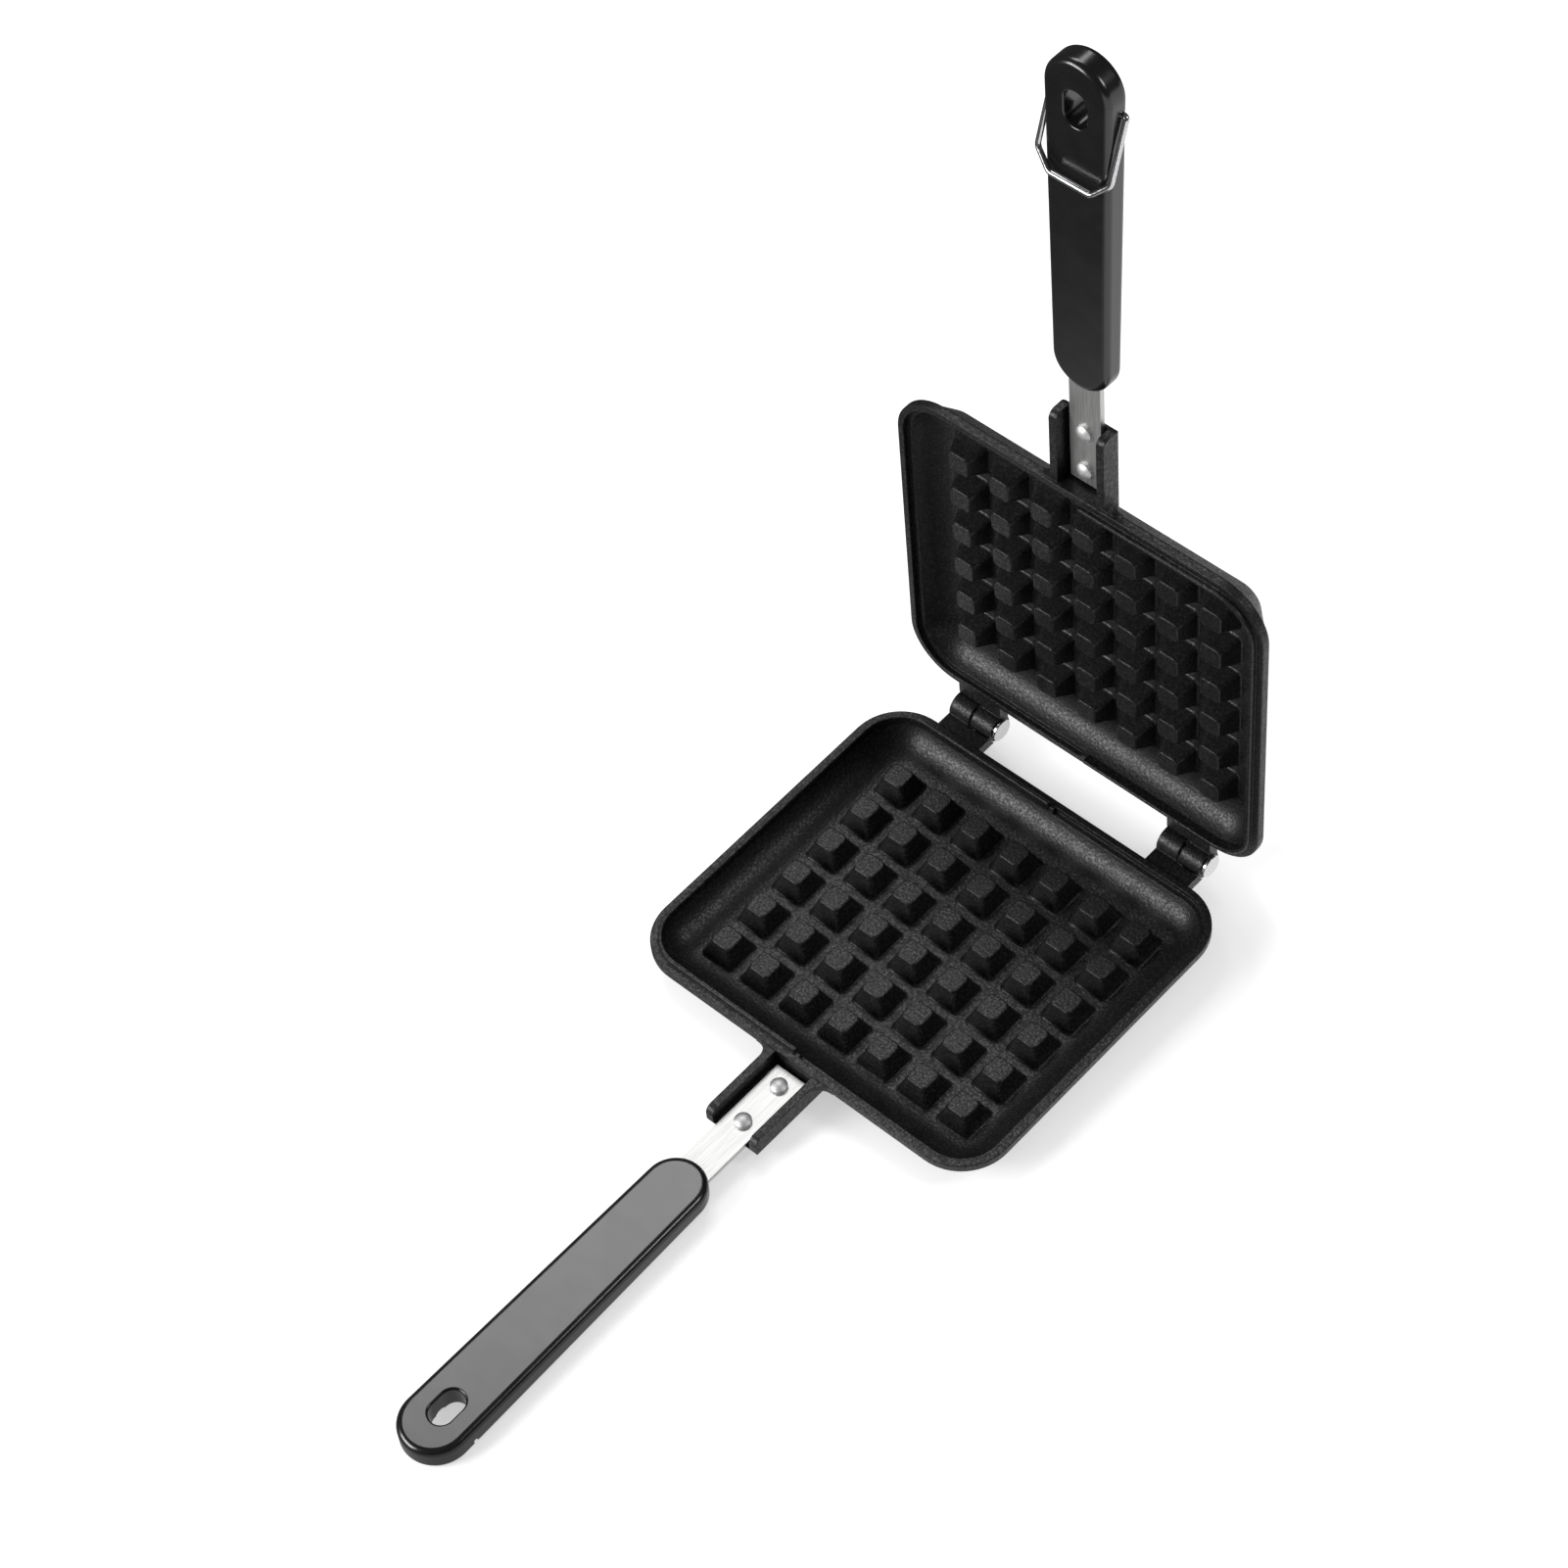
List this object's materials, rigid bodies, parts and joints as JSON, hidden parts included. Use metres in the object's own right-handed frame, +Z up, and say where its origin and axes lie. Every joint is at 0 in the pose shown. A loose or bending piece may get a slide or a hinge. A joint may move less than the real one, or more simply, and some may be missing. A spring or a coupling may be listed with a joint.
{
  "type": "stovetop waffle pan",
  "caption": "Hinged stovetop waffle pan: two shallow studded pans that close on each other, with riveted handles, a wire bail and hinge pins, shown open.",
  "frame": {"origin": "middle of the lower pan's flat underside, on the surface it stands on", "axes": "X along the hinge, Y from the handles towards the hinge, Z up; drawn open, as the lid stands against its stops"},
  "size_m": [0.156, 0.3575, 0.3518],
  "materials": {
    "coated_aluminium": "cast aluminium under a dark grey speckled non-stick coating, satin",
    "steel_strip": "plain flat steel strip, lightly brushed along its length",
    "rivet_metal": "bright domed rivet heads",
    "handle_plastic": "black moulded heat-proof plastic, satin",
    "pin_steel": "bright turned steel",
    "bright_wire": "bright drawn steel wire"
  },
  "bodies": {
    "base": {"lower_pan": "coated_aluminium", "lower_tang": "steel_strip", "lower_rivets": "rivet_metal", "lower_handle": "handle_plastic", "hinge_pin_left": "pin_steel", "hinge_pin_right": "pin_steel"},
    "lid": {"upper_pan": "coated_aluminium", "upper_tang": "steel_strip", "upper_rivets": "rivet_metal", "upper_handle": "handle_plastic"},
    "bail": {"latch_bail": "bright_wire"}
  },
  "joints": [
    {"name": "lid_hinge", "type": "hinge", "parent": "base", "child": "lid", "pos_m": [0, 0.0815, 0.014], "axis": [1, 0, 0], "range_deg": [0, 91]},
    {"name": "bail_pivot", "type": "hinge", "parent": "lid", "child": "bail", "pos_m": [0, 0.09803, 0.33386], "axis": [-1, 0, 0], "range_deg": [0, 333]}
  ]
}
